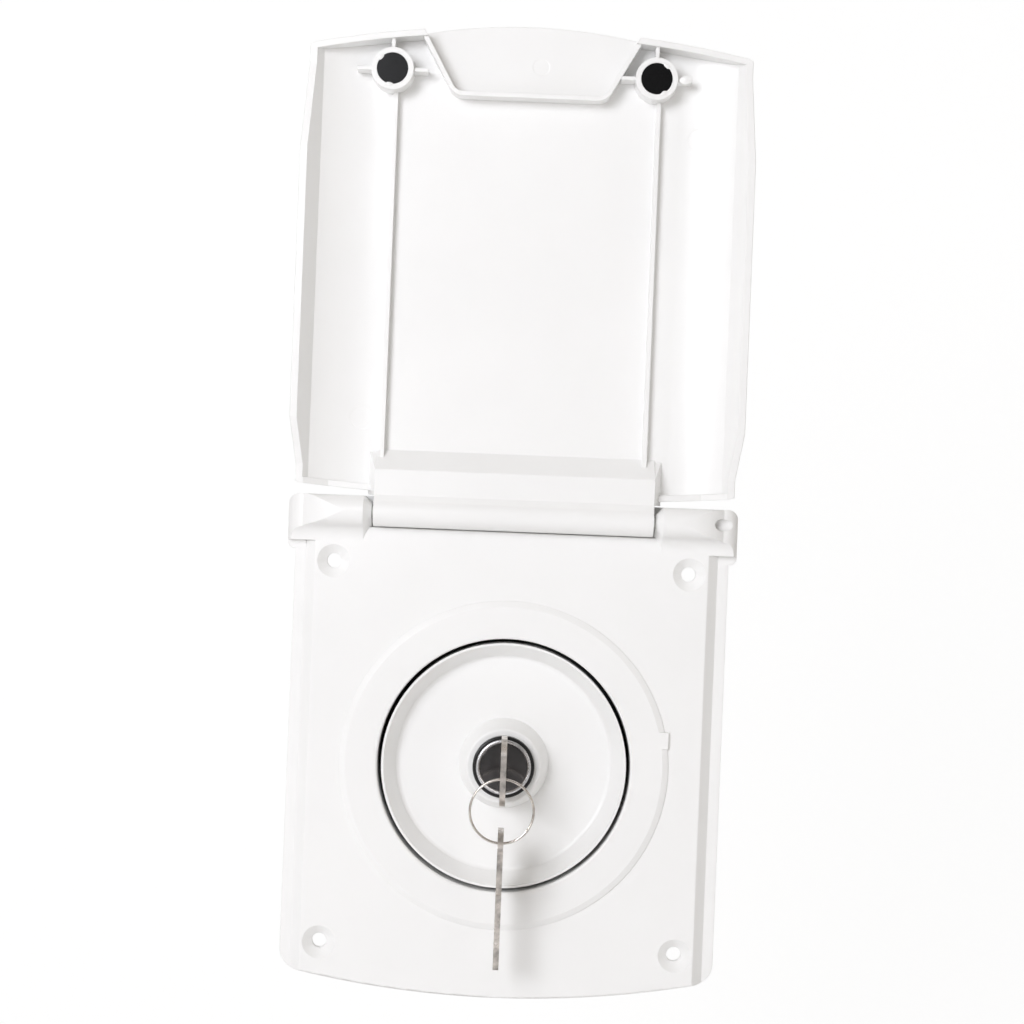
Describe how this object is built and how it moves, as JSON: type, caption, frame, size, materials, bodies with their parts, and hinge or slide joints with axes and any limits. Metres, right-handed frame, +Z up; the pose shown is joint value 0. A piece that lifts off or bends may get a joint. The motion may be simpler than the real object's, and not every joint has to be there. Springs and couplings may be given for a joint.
{
  "type": "caravan water filler hatch",
  "caption": "Moulded wall hatch for filling a water tank: screwed plate with a round neck, lockable dished cap, and a cover hinged above that folds up flat.",
  "frame": {"origin": "on the axis of the filler neck, in the plane of the wall's outer skin that the plate is screwed to", "axes": "+X to the right and +Z up along the wall, seen from outside; +Y into the wall, along the neck"},
  "size_m": [0.1596, 0.1251, 0.3445],
  "materials": {
    "white_abs": "injection moulded ABS, satin gloss",
    "plated_steel": "zinc plated",
    "seal_rubber": "moulded, matt",
    "black_lock_body": "black, satin",
    "bright_trim": "bright nickel plated",
    "lock_plug_face": "die cast, bright plated",
    "brass_wafer": "stamped",
    "nickel_key": "nickel plated brass, lightly worn",
    "magnet_black": "ferrite, matt black"
  },
  "bodies": {
    "base": {"base_plate": "white_abs", "filler_neck": "white_abs", "hinge_pin": "plated_steel", "keeper_left": "plated_steel", "keeper_right": "plated_steel"},
    "lid": {"lid": "white_abs", "lid_magnet_left": "magnet_black", "lid_magnet_right": "magnet_black"},
    "cap": {"filler_cap": "white_abs", "cap_seal": "seal_rubber", "lock_body": "black_lock_body", "lock_trim_ring": "bright_trim", "lock_washer": "plated_steel", "lock_nut": "plated_steel"},
    "plug": {"lock_plug": "lock_plug_face", "lock_wafer_1": "brass_wafer", "lock_wafer_2": "brass_wafer", "lock_wafer_3": "brass_wafer", "lock_wafer_4": "brass_wafer", "lock_wafer_5": "brass_wafer", "locking_bar": "plated_steel", "bar_washer": "plated_steel", "bar_screw": "plated_steel"},
    "key": {"key": "nickel_key"},
    "ring": {"key_ring": "bright_trim"},
    "spare": {"spare_key": "nickel_key"}
  },
  "joints": [
    {"name": "lid_hinge", "type": "hinge", "parent": "base", "child": "lid", "pos_m": [0, -0.009, 0.088], "axis": [1, 0, 0], "range_deg": [0, 166]},
    {"name": "cap_lift", "type": "slide", "parent": "base", "child": "cap", "axis": [0, -1, 0], "range_m": [0, 0.12]},
    {"name": "lock_turn", "type": "hinge", "parent": "cap", "child": "plug", "pos_m": [0, 0, 0], "axis": [0, 1, 0], "range_deg": [0, 90]},
    {"name": "key_pull", "type": "slide", "parent": "plug", "child": "key", "axis": [0, -1, 0], "range_m": [0, 0.07]},
    {"name": "ring_swing", "type": "hinge", "parent": "key", "child": "ring", "pos_m": [0, -0.0276, -0.00244], "axis": [1, 0, 0], "range_deg": [-90, 10]},
    {"name": "spare_swing", "type": "hinge", "parent": "ring", "child": "spare", "pos_m": [0, -0.0276, -0.02444], "axis": [1, 0, 0], "range_deg": [-75, 18]}
  ]
}
